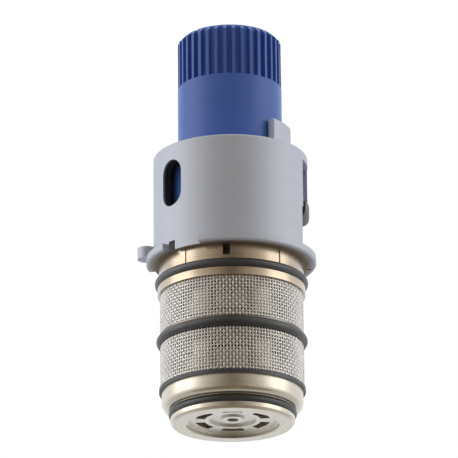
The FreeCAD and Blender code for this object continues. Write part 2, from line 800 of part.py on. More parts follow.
def lift_nut():
    """The nut inside the spindle: it can't turn, so the spindle's thread raises and lowers it."""
    body = new_body("lift_nut")
    clip_floor = "nut_bore_radius + clip_depth + groove_play"
    revolve(body, "NutTurning", [
        ("nut_bore_radius", "nut_bottom"),
        ("nut_flange_radius", "nut_bottom"),
        ("nut_flange_radius", "nut_flange_top"),
        ("nut_radius", "nut_flange_top"),
        ("nut_radius", "nut_top"),
        ("0", "nut_top"),
        ("0", "spring_ceiling"),
        ("nut_bore_radius", "spring_ceiling"),
        ("nut_bore_radius", "clip_top + groove_play"),
        (clip_floor, "clip_top + groove_play"),
        (clip_floor, "clip_bottom - groove_play"),
        ("nut_bore_radius", "clip_bottom - groove_play"),
    ])
    outline = new_sketch(body, "KeyOutline", "XY_Plane", height="nut_bottom + nut_key_step")
    span = "(key_angle - 2 * key_side_play)"
    start = f"key_direction - {span} / 2"
    root = "nut_flange_radius - root_depth"
    draw_sector(outline, root, "key_radius - key_tip_play", start, span)
    key = pad_up(body, "Key", outline, "nut_flange_height - nut_key_step")
    repeat(body, "Keys", key, "key_count")


def open_ring(label, radius, depth, width, thickness, bottom):
    """A flat spring clip with an opening, seated in a groove of a bore."""
    body = new_body(label)
    outline = new_sketch(body, label + "Outline", "XY_Plane", height=bottom)
    span = f"({CIRCLE} - clip_opening)"
    start = "clip_opening / 2 - 90"
    draw_sector(outline, f"{radius} + {depth} - {width}", f"{radius} + {depth}", start, span)
    pad_up(body, label + "Stamping", outline, thickness)


def overload_plunger():
    """The plunger that the overload spring holds down on its clip, and that carries the push pin."""
    body = new_body("overload_plunger")
    socket = "pin_radius + press_fit"
    revolve(body, "PlungerTurning", [
        (socket, "plunger_bottom"),
        ("plunger_radius", "plunger_bottom"),
        ("plunger_radius", "head_bottom"),
        ("nut_bore_radius - running_fit", "head_bottom"),
        ("nut_bore_radius - running_fit", "head_top"),
        ("plunger_radius", "head_top"),
        ("plunger_radius", "head_top + spring_pilot"),
        ("0", "head_top + spring_pilot"),
        ("0", "pin_top"),
        (socket, "pin_top"),
    ])


def push_pin():
    """The steel pin between the plunger and the wax in the element."""
    pin = document.addObject("Part::Cylinder", "push_pin")
    pin.Label = "push_pin"
    pin.setExpression("Radius", formula("pin_radius"))
    pin.setExpression("Height", formula("pin_top - pin_bottom"))
    pin.setExpression("Placement.Base.z", formula("pin_bottom"))


def wax_element():
    """The copper-alloy sensor: bulb in the mixed water, crimped flange and guided stem."""
    body = new_body("wax_element")
    bore = "pin_radius + running_fit"
    revolve(body, "ElementTurning", [
        ("0", "element_bottom"),
        ("bulb_radius - bulb_chamfer", "element_bottom"),
        ("bulb_radius", "element_bottom + bulb_chamfer"),
        ("bulb_radius", "web_top"),
        ("element_flange_radius", "web_top"),
        ("element_flange_radius", "element_flange_top"),
        ("element_stem_radius", "element_flange_top"),
        ("element_stem_radius", "element_top"),
        (bore, "element_top"),
        (bore, "pin_bottom - pin_reserve"),
        ("0", "pin_bottom - pin_reserve"),
    ])


def mixing_slide():
    """The brass slide between the two seats, with a ported web that rides under the element."""
    body = new_body("mixing_slide")
    floor = "slide_bore - slide_seal_wire - groove_play"
    half_groove = "(slide_seal_wire / 2 + groove_play)"
    hub = "bulb_radius + bulb_play"
    revolve(body, "SlideTurning", [
        ("slide_bore_radius", "slide_bottom"),
        ("slide_radius", "slide_bottom"),
        ("slide_radius", f"slide_centre - {half_groove}"),
        (floor, f"slide_centre - {half_groove}"),
        (floor, f"slide_centre + {half_groove}"),
        ("slide_radius", f"slide_centre + {half_groove}"),
        ("slide_radius", "slide_top"),
        ("slide_bore_radius", "slide_top"),
        ("slide_bore_radius", "web_top"),
        (hub, "web_top"),
        (hub, "web_bottom"),
        ("slide_bore_radius", "web_bottom"),
    ])
    outline = new_sketch(body, "SlidePortOutline", "XY_Plane", height="web_bottom")
    draw_sector(outline, "slide_hub_radius", "slide_bore_radius", "0", "slide_port_angle")
    port = cut_up(body, "SlidePort", outline, "slide_web")
    repeat(body, "SlidePorts", port, "slide_port_count")


def outlet_guide():
    """The spoked disc in the outlet that carries the return spring."""
    body = new_body("outlet_guide")
    recess_top = "guide_bottom + guide_recess_depth"
    revolve(body, "GuideTurning", [
        ("guide_recess_radius", "guide_bottom"),
        ("guide_disc_radius", "guide_bottom"),
        ("guide_disc_radius", "outlet_depth"),
        ("guide_hole_radius", "outlet_depth"),
        ("guide_hole_radius", "guide_bottom + guide_boss_drop"),
        ("guide_boss_radius", "guide_bottom + guide_boss_drop"),
        ("guide_boss_radius", recess_top),
        ("guide_recess_radius", recess_top),
    ])
    outline = new_sketch(body, "OpeningOutline", "XY_Plane", height="guide_bottom")
    span = f"({CIRCLE} / guide_arm_count - guide_arm_angle)"
    rim = "guide_disc_radius - guide_rim"
    draw_sector(outline, "guide_hub_radius", rim, "guide_arm_angle / 2", span)
    opening = cut_up(body, "Opening", outline, "guide_thickness")
    repeat(body, "Openings", opening, "guide_arm_count")


def strainer(label, bottom, top):
    """A sleeve of woven steel wire. Its open mesh is a grid of gaps between upright and level ribs."""
    radius = number("strainer_radius")
    wall = number("strainer_wall")
    low = number(f"{bottom} + groove_play")
    high = number(f"{top} - groove_play")
    rim = number("mesh_rim")
    width = number("mesh_gap_width")
    rows = int(number("mesh_rows"))
    columns = int(number("mesh_columns"))
    rib = (high - low - 2 * rim - rows * number("mesh_gap_height")) / (rows - 1)
    tall = number("mesh_gap_height")
    base = FreeCAD.Vector(0, 0, low)
    outside = Part.makeCylinder(radius, high - low, base)
    sleeve = outside.cut(Part.makeCylinder(radius - wall, high - low, base))
    gaps = []
    for row in range(rows):
        corner = FreeCAD.Vector(radius - 2 * wall, -width / 2, low + rim + row * (tall + rib))
        for column in range(columns):
            gap = Part.makeBox(3 * wall, width, tall, corner)
            turn = CIRCLE * column / columns
            gap.rotate(FreeCAD.Vector(0, 0, 0), FreeCAD.Vector(0, 0, 1), turn)
            gaps.append(gap)
    piece = document.addObject("Part::Feature", label)
    piece.Label = label
    piece.Shape = sleeve.cut(gaps)


def flat_washer():
    """The flat black ring between the lower strainer and the outlet cap."""
    body = new_body("lower_washer")
    revolve(body, "WasherTurning", [
        ("thread_radius + axial_play", "cap_top"),
        ("washer_radius", "cap_top"),
        ("washer_radius", "washer_top"),
        ("thread_radius + axial_play", "washer_top"),
    ])


def seal_retainer():
    """The brass ring that holds the stem seal in its counterbore."""
    body = new_body("seal_retainer")
    outside = "stem_seal_floor - press_fit"
    revolve(body, "RetainerTurning", [
        ("stem_bore", "retainer_bottom"),
        (outside, "retainer_bottom"),
        (outside, "inlet_web_top"),
        ("stem_bore", "inlet_web_top"),
    ])


outlet_cap()
middle_body()
inlet_body()
housing_shell()
guide_sleeve()
slip_ring()
temperature_spindle()
handle_insert()
lift_nut()
open_ring(
    "plunger_clip", "nut_bore_radius", "clip_depth", "clip_width", "clip_thickness", "clip_bottom"
)
open_ring(
    "outlet_clip", "outlet_radius", "outlet_clip_depth", "outlet_clip_width",
    "outlet_clip_thickness", "outlet_clip_bottom",
)
overload_plunger()
push_pin()
wax_element()
mixing_slide()
outlet_guide()
flat_washer()
seal_retainer()
strainer("upper_strainer", "middle_top", "upper_strainer_top")
strainer("lower_strainer", "washer_top", "lower_strainer_top")
coil(
    "overload_spring", "overload_radius", "overload_wire",
    "head_top", "spring_ceiling", "overload_turns",
)
coil("return_spring", "return_radius", "return_wire", "outlet_depth", "web_bottom", "return_turns")
seal(
    "outlet_seal", "outlet_seal_radius", "outlet_seal_wire",
    "outlet_seal_height + outlet_seal_wire / 2 + groove_play",
)
seal(
    "middle_seal", "middle_seal_radius", "middle_seal_wire",
    "lower_strainer_top + middle_seal_wire / 2 + groove_play",
)
seal(
    "body_seal", "body_seal_radius", "body_seal_wire",
    "lip_top + body_seal_wire / 2 + groove_play",
)
seal("slide_seal", "(slide_bore - press_fit)", "slide_seal_wire", "slide_centre")
seal(
    "stem_seal", "(stem_seal_floor - press_fit)", "stem_seal_wire",
    "stem_seal_bottom + stem_seal_wire / 2 + groove_play",
)
document.recompute()

PIECE_KINDS = ("PartDesign::Body", "Part::Cylinder", "Part::Torus", "Part::Feature")


def check_model():
    """Stops before anything is written if a feature failed or a cut removed nothing."""
    for item in document.Objects:
        if "Invalid" in item.State or "Error" in item.State:
            raise RuntimeError(f"{item.Name} could not be built")
        if item.TypeId == "PartDesign::Pocket":
            before = item.BaseFeature.Shape.Volume
            if item.Shape.Volume > before - TOLERANCE:
                raise RuntimeError(f"{item.Name} cuts nothing")
        if item.TypeId in PIECE_KINDS:
            if item.Shape.isNull() or not item.Shape.isValid():
                raise RuntimeError(f"{item.Label} is not a valid solid")


check_model()
os.makedirs("parts", exist_ok=True)
for item in document.Objects:
    if item.TypeId in PIECE_KINDS:
        item.Shape.exportStep(f"parts/{item.Label}.step")
        print(item.Label, len(item.Shape.Solids), round(item.Shape.Volume, 1))
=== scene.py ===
import math

import bpy
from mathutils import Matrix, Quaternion, Vector


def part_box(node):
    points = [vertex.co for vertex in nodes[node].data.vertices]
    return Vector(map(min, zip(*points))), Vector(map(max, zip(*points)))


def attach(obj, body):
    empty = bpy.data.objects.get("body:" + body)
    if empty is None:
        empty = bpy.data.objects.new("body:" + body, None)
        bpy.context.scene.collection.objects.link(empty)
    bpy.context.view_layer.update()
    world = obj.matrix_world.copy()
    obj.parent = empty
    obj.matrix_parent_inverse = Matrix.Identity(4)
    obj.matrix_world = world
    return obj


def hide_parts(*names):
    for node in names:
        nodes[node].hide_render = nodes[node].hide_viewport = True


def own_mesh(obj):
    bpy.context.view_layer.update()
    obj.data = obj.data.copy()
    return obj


# Dressed model of a temperature mixing cartridge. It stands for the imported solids: most of them keep
# their shape and get their real finish here, and the two strainers are woven from wire.
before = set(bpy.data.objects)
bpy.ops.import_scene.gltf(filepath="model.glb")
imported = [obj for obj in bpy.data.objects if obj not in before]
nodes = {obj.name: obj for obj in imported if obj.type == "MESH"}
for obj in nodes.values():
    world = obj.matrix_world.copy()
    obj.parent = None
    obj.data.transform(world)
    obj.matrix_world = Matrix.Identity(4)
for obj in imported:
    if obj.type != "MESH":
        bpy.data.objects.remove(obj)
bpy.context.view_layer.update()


# Studio: a pale floor well below the cartridge, which is photographed from below, and a soft box at
# each side. The surroundings are white, but a darker zone of them and a brown card on the floor, both
# on the camera's side, give the metal the dark front of its reflections.
def new_node(tree, kind, **settings):
    node = tree.nodes.new(kind)
    for name, value in settings.items():
        setattr(node, name, value)
    return node


def feed(tree, socket, value):
    """Gives a socket a plain value, or links another socket to it."""
    if isinstance(value, bpy.types.NodeSocket):
        tree.links.new(value, socket)
    else:
        socket.default_value = value


def maths(tree, operation, first, second=None, clamp=False):
    """One Math node. Its inputs are numbers or sockets."""
    node = new_node(tree, "ShaderNodeMath", operation=operation, use_clamp=clamp)
    feed(tree, node.inputs[0], first)
    if second is not None:
        feed(tree, node.inputs[1], second)
    return node.outputs[0]


def split_axes(tree, kind):
    """X, Y and Z of the place that is shaded, in one kind of coordinates."""
    coordinates = new_node(tree, "ShaderNodeTexCoord")
    axes = new_node(tree, "ShaderNodeSeparateXYZ")
    feed(tree, axes.inputs[0], coordinates.outputs[kind])
    return axes.outputs


def map_range(tree, value, low, high, to_low, to_high):
    """Turns the range from low to high into one from to_low to to_high, and stops at its ends."""
    node = new_node(tree, "ShaderNodeMapRange")
    feed(tree, node.inputs["Value"], value)
    for label, number in (
        ("From Min", low), ("From Max", high), ("To Min", to_low), ("To Max", to_high)
    ):
        node.inputs[label].default_value = number
    return node.outputs["Result"]


def blend_colors(tree, mask, low, high):
    """The colour low where the mask is 0, and high where it is 1. Each is a tuple or a socket."""
    mix = new_node(tree, "ShaderNodeMix", data_type="RGBA")
    feed(tree, mix.inputs[0], mask)
    # the node has sockets for every type of data: its two colours are 6 and 7, and its result is 2
    for index, color in ((6, low), (7, high)):
        feed(tree, mix.inputs[index], (*color, 1) if isinstance(color, tuple) else color)
    return mix.outputs[2]


def new_material(name, metallic=0.0, roughness=0.5):
    material = bpy.data.materials.new(name)
    material.use_nodes = True
    tree = material.node_tree
    shader = tree.nodes["Principled BSDF"]
    shader.inputs["Metallic"].default_value = metallic
    shader.inputs["Roughness"].default_value = roughness
    return material, tree, shader


def make_sheet(name, left, right, front, back, level, color):
    """A flat sheet of paper or card at one level, in one colour."""
    mesh = bpy.data.meshes.new(name)
    corners = [(left, front, level), (right, front, level), (right, back, level), (left, back, level)]
    mesh.from_pydata(corners, [], [(0, 1, 2, 3)])
    sheet = bpy.data.objects.new(name, mesh)
    bpy.context.scene.collection.objects.link(sheet)
    material, tree, shader = new_material(name, roughness=0.9)
    shader.inputs["Base Color"].default_value = (*color, 1)
    mesh.materials.append(material)
    return sheet


def make_surroundings():
    """Plain white to the camera. All else sees a warm dark zone round -Y, from top to bottom."""
    world = bpy.data.worlds.new("studio")
    bpy.context.scene.world = world
    world.use_nodes = True
    tree = world.node_tree
    tree.nodes.clear()
    zone_core, zone_rim = math.radians(4), math.radians(68)
    zone_light = 0.16
    axes = split_axes(tree, "Generated")
    aside = maths(tree, "ABSOLUTE", axes["X"])
    forward = maths(tree, "MULTIPLY", axes["Y"], -1.0)
    bearing = maths(tree, "ARCTAN2", aside, forward)
    light = map_range(tree, bearing, zone_core, zone_rim, zone_light, 1.0)
    tint = blend_colors(tree, light, (1.0, 0.84, 0.66), (0.97, 0.99, 1.03))
    lit = new_node(tree, "ShaderNodeBackground")
    feed(tree, lit.inputs["Color"], tint)
    feed(tree, lit.inputs["Strength"], light)
    white = new_node(tree, "ShaderNodeBackground")
    white.inputs["Color"].default_value = (1.0, 1.0, 1.0, 1)
    path = new_node(tree, "ShaderNodeLightPath")
    mix = new_node(tree, "ShaderNodeMixShader")
    feed(tree, mix.inputs["Fac"], path.outputs["Is Camera Ray"])
    feed(tree, mix.inputs[1], lit.outputs[0])
    feed(tree, mix.inputs[2], white.outputs[0])
    output = new_node(tree, "ShaderNodeOutputWorld")
    feed(tree, output.inputs["Surface"], mix.outputs[0])


def add_soft_box(name, place, size, power):
    """A square lamp that faces the cartridge's middle."""
    middle = Vector((0, 0, 0.04))
    lamp = bpy.data.lights.new(name, "AREA")
    lamp.size = size
    lamp.energy = power
    box = bpy.data.objects.new(name, lamp)
    bpy.context.scene.collection.objects.link(box)
    box.location = place
    box.rotation_euler = (middle - Vector(place)).to_track_quat("-Z", "Y").to_euler()


def make_camera():
    """A long lens from 19 degrees below, leaning by half a degree as in the photograph."""
    distance = 0.95
    target = Vector((0, 0, 0.04284))
    rise = math.radians(-19)
    back = Vector((0, -math.cos(rise), math.sin(rise)))
    lean = Quaternion((0, 0, 1), math.radians(-0.55))
    data = bpy.data.cameras.new("camera")
    data.lens = 354.4
    data.shift_x = -0.0043
    data.shift_y = 0.0022
    data.clip_end = 50
    camera = bpy.data.objects.new("camera", data)
    bpy.context.scene.collection.objects.link(camera)
    camera.location = target + back * distance
    camera.rotation_mode = "QUATERNION"
    camera.rotation_quaternion = (-back).to_track_quat("-Z", "Y") @ lean
    bpy.context.scene.camera = camera


make_sheet(
    "floor", left=-4.0, right=4.0, front=-4.0, back=4.0, level=-1.45, color=(0.80, 0.80, 0.79)
)
dark_card = make_sheet(
    "dark_card", left=-2.2, right=2.2, front=-4.0, back=-0.15, level=-1.44, color=(0.24, 0.18, 0.12)
)
dark_card.visible_camera = False
make_surroundings()
add_soft_box("left_box", place=(-0.95, -0.10, 0.40), size=0.8, power=2.5)
add_soft_box("right_box", place=(0.95, -0.20, 0.35), size=0.7, power=1.7)
make_camera()
bpy.context.scene.view_settings.view_transform = "Standard"


# Temperature spindle: moulded in blue plastic, with a splined head for the handle. Its collar, which
# shows in the shell's windows, keeps it under the shell's top. Its skin is satin with a faint grain,
# and the turned mould has left level rings on it.
def new_group(name, inputs, outputs):
    """An empty shader node group whose sockets are numbers. Each input has a value."""
    group = bpy.data.node_groups.new(name, "ShaderNodeTree")
    for label, value in inputs.items():
        socket = group.interface.new_socket(label, in_out="INPUT", socket_type="NodeSocketFloat")
        socket.default_value = value
    for label in outputs:
        group.interface.new_socket(label, in_out="OUTPUT", socket_type="NodeSocketFloat")
    start = new_node(group, "NodeGroupInput")
    end = new_node(group, "NodeGroupOutput")
    return group, start.outputs, end.inputs


def place_group(tree, group, values):
    node = new_node(tree, "ShaderNodeGroup", node_tree=group)
    for label, value in values.items():
        node.inputs[label].default_value = value
    return node.outputs


def noise_on_object(tree, scale, detail, stretch=None):
    """Noise in the object's own coordinates, which are metres. scale is a number or a socket."""
    coordinates = new_node(tree, "ShaderNodeTexCoord")
    place = coordinates.outputs["Object"]
    if stretch:
        mapping = new_node(tree, "ShaderNodeMapping")
        mapping.inputs["Scale"].default_value = stretch
        feed(tree, mapping.inputs["Vector"], place)
        place = mapping.outputs["Vector"]
    noise = new_node(tree, "ShaderNodeTexNoise")
    noise.inputs["Detail"].default_value = detail
    feed(tree, noise.inputs["Scale"], scale)
    feed(tree, noise.inputs["Vector"], place)
    return noise.outputs["Fac"]


def build_grain_group():
    """Fine unevenness of a skin, as a height for bump, and broad unevenness, as a tone."""
    group, inputs, outputs = new_group(
        "skin_grain", {"Fine Scale": 4000.0, "Broad Scale": 60.0}, ["Height", "Tone"]
    )
    feed(group, outputs["Height"], noise_on_object(group, inputs["Fine Scale"], detail=2.0))
    feed(group, outputs["Tone"], noise_on_object(group, inputs["Broad Scale"], detail=3.0))
    return group


def measure_radius(tree, axes):
    """The distance from the Z axis."""
    across = maths(tree, "MULTIPLY", axes["X"], axes["X"])
    along = maths(tree, "MULTIPLY", axes["Y"], axes["Y"])
    return maths(tree, "SQRT", maths(tree, "ADD", across, along))


def build_recess_group():
    """A mask that is 1 within a radius of the Z axis and between two heights, and 0 elsewhere."""
    group, inputs, outputs = new_group(
        "recess", {"Radius": 0.01, "Blur": 0.0005, "Bottom": 0.0, "Top": 0.1}, ["Mask"]
    )
    axes = split_axes(group, "Object")
    inside = maths(group, "SUBTRACT", inputs["Radius"], measure_radius(group, axes))
    depth = maths(group, "DIVIDE", inside, inputs["Blur"], clamp=True)
    above = maths(group, "GREATER_THAN", axes["Z"], inputs["Bottom"])
    below = maths(group, "LESS_THAN", axes["Z"], inputs["Top"])
    between = maths(group, "MULTIPLY", above, below)
    feed(group, outputs["Mask"], maths(group, "MULTIPLY", depth, between))
    return group


skin_grain = build_grain_group()
recess = build_recess_group()


def place_grain(tree, fine, broad):
    return place_group(tree, skin_grain, {"Fine Scale": fine, "Broad Scale": broad})


def place_recess(tree, radius, blur, bottom, top):
    """The recess mask for a place on the cartridge, in metres."""
    sizes = {"Radius": radius, "Blur": blur, "Bottom": bottom, "Top": top}
    return place_group(tree, recess, sizes)["Mask"]


def spread(tree, noise, low, high):
    """A noise, most of which lies between 0.3 and 0.7, spread from low to high."""
    return map_range(tree, noise, 0.3, 0.7, low, high)


def blend_tones(tree, noise, dark, light):
    """A colour that wanders with a noise between two tones."""
    return blend_colors(tree, spread(tree, noise, 0.0, 1.0), dark, light)


def add_bump(tree, shader, height, depth, strength):
    """Bump from a height of 0 to 1, over a depth in metres."""
    bump = new_node(tree, "ShaderNodeBump")
    bump.inputs["Distance"].default_value = depth
    bump.inputs["Strength"].default_value = strength
    feed(tree, bump.inputs["Height"], height)
    feed(tree, shader.inputs["Normal"], bump.outputs["Normal"])


def dress(names, material):
    for name in names:
        for place in nodes[name].material_slots:
            place.material = material


def make_blue_plastic():
    spline_length = 0.0116
    groove_radius = 0.0108
    collar_depth = 0.0065
    low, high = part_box("temperature_spindle")
    shell_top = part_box("housing_shell")[1].z
    material, tree, shader = new_material("blue_plastic")
    shader.inputs["Specular IOR Level"].default_value = 0.3
    shader.inputs["Sheen Weight"].default_value = 0.9
    shader.inputs["Sheen Roughness"].default_value = 0.35
    shader.inputs["Sheen Tint"].default_value = (0.30, 0.56, 1.0, 1)
    rings = noise_on_object(tree, 1.0, detail=3.0, stretch=(60, 60, 5000))
    color = blend_tones(tree, rings, (0.060, 0.122, 0.420), (0.070, 0.142, 0.465))
    # the grooves between the splines are one even blue, and the collar inside the shell is painted a
    # brighter blue, as painted light where the shell shades it
    grooves = place_recess(
        tree, radius=groove_radius, blur=0.0007, bottom=high.z - spline_length, top=high.z
    )
    color = blend_colors(tree, grooves, color, (0.060, 0.130, 0.44))
    collar_painted_light = place_recess(
        tree, radius=high.x + 0.001, blur=0.0005, bottom=low.z, top=shell_top - collar_depth
    )
    color = blend_colors(tree, collar_painted_light, color, (0.085, 0.19, 0.62))
    feed(tree, shader.inputs["Base Color"], color)
    grain = place_grain(tree, fine=2500.0, broad=90.0)
    feed(tree, shader.inputs["Roughness"], spread(tree, grain["Tone"], 0.30, 0.40))
    add_bump(tree, shader, grain["Height"], depth=0.00002, strength=0.35)
    return material


dress(["temperature_spindle"], make_blue_plastic())


# Shell: a zinc die casting, blasted to a fine even grain and plated a satin grey, which screws on to
# the brass body. The cut edges of the narrow window at the left are painted near black as painted
# shade, and the underside is painted brown and darker as painted shade and a painted reflection of the
# brass.
def make_shell_metal():
    wall_radius = 0.0162
    window_foot, window_head = 0.0030, 0.0232
    low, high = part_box("housing_shell")
    material, tree, shader = new_material("shell_metal", metallic=0.6)
    rings = noise_on_object(tree, 1.0, detail=3.0, stretch=(100, 100, 4000))
    color = blend_tones(tree, rings, (0.52, 0.545, 0.60), (0.555, 0.575, 0.625))
    # painted shade: the narrow left window's cut edges are painted near black
    edges = place_recess(
        tree, radius=wall_radius, blur=0.0006, bottom=low.z + window_foot, top=low.z + window_head
    )
    left_side = maths(tree, "LESS_THAN", split_axes(tree, "Object")["X"], 0.0)
    left_edges_painted_shade = maths(tree, "MULTIPLY", edges, left_side)
    color = blend_colors(tree, left_edges_painted_shade, color, (0.07, 0.06, 0.055))
    # painted shade and painted reflection: the underside is painted dark brown, as the shaded brass
    # below would show in it
    underside_painted_shade_and_reflection = place_recess(
        tree, radius=high.x - 0.0003, blur=0.0016, bottom=low.z - 0.0001, top=low.z + 0.0001
    )
    color = blend_colors(tree, underside_painted_shade_and_reflection, color, (0.23, 0.18, 0.135))
    feed(tree, shader.inputs["Base Color"], color)
    grain = place_grain(tree, fine=3500.0, broad=120.0)
    feed(tree, shader.inputs["Roughness"], spread(tree, grain["Height"], 0.56, 0.68))
    add_bump(tree, shader, grain["Height"], depth=0.00003, strength=0.5)
    return material


dress(["housing_shell"], make_shell_metal())


# Brass: the body is three turned pieces screwed together, dull plated, with the fine rings that a
# lathe leaves on walls and end faces. The outlet disc and its spring ring are plated paler, and the
# pieces inside are plain turned brass.
def build_turning_group():
    """Rings round the Z axis, on walls by height and on end faces by radius, there a bit closer."""
    group, inputs, outputs = new_group(
        "turning_marks", {"Ring Scale": 6000.0, "Broad Scale": 500.0}, ["Height", "Tone"]
    )
    face_share = 1.37
    axes = split_axes(group, "Object")
    radius = measure_radius(group, axes)
    place = maths(group, "ADD", axes["Z"], maths(group, "MULTIPLY", radius, face_share))
    for scale, output, detail in (("Ring Scale", "Height", 3.0), ("Broad Scale", "Tone", 2.0)):
        noise = new_node(group, "ShaderNodeTexNoise", noise_dimensions="1D")
        noise.inputs["Detail"].default_value = detail
        feed(group, noise.inputs["W"], place)
        feed(group, noise.inputs["Scale"], inputs[scale])
        feed(group, outputs[output], noise.outputs["Fac"])
    return group


turning_marks = build_turning_group()


def make_brass(name, dark, light, roughness, shaded=()):
    """Brass with rings in two tones, under a thin clear passivation. shaded lists places
    darkened with painted shade, each with its colour."""
    material, tree, shader = new_material(name, metallic=1.0)
    shader.inputs["Coat Weight"].default_value = 1.0
    shader.inputs["Coat Roughness"].default_value = 0.3
    rings = place_group(tree, turning_marks, {})
    color = blend_tones(tree, rings["Tone"], dark, light)
    for sizes, painted_shade_color in shaded:
        color = blend_colors(tree, place_recess(tree, **sizes), color, painted_shade_color)
    feed(tree, shader.inputs["Base Color"], color)
    rough = spread(tree, rings["Height"], roughness - 0.05, roughness + 0.07)
    feed(tree, shader.inputs["Roughness"], rough)
    add_bump(tree, shader, rings["Height"], depth=0.00001, strength=0.5)
    return material


# painted shade: the spanner notch in the body's band is painted near black
spanner_notch_shade = {
    "radius": 0.0149, "blur": 0.0003,
    "bottom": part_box("body_seal")[1].z, "top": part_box("housing_shell")[0].z,
}
# painted shade: the brass land between the middle seal and the upper strainer is painted darker
seal_land_shade = {
    "radius": 0.016, "blur": 0.0002,
    "bottom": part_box("middle_seal")[0].z, "top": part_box("upper_strainer")[0].z + 0.0002,
}
# the body's brass is darker and browner than the cap's: partly a plating difference, and partly painted
# shade for the inlet body under the shell's flange
body_brass = make_brass(
    "body_brass", dark=(0.48, 0.38, 0.26), light=(0.56, 0.45, 0.32), roughness=0.26,
    shaded=[(spanner_notch_shade, (0.05, 0.035, 0.022)), (seal_land_shade, (0.20, 0.17, 0.13))],
)
dress(["inlet_body", "middle_body"], body_brass)
for name, dark, light, roughness, pieces in (
    ("cap_brass", (0.60, 0.54, 0.43), (0.67, 0.61, 0.49), 0.32, ["outlet_cap"]),
    ("guide_brass", (0.68, 0.65, 0.58), (0.76, 0.73, 0.66), 0.4, ["outlet_guide", "outlet_clip"]),
    ("inner_brass", (0.62, 0.48, 0.28), (0.70, 0.56, 0.34), 0.3,
     ["mixing_slide", "lift_nut", "overload_plunger", "handle_insert", "seal_retainer"]),
):
    dress(pieces, make_brass(name, dark, light, roughness))


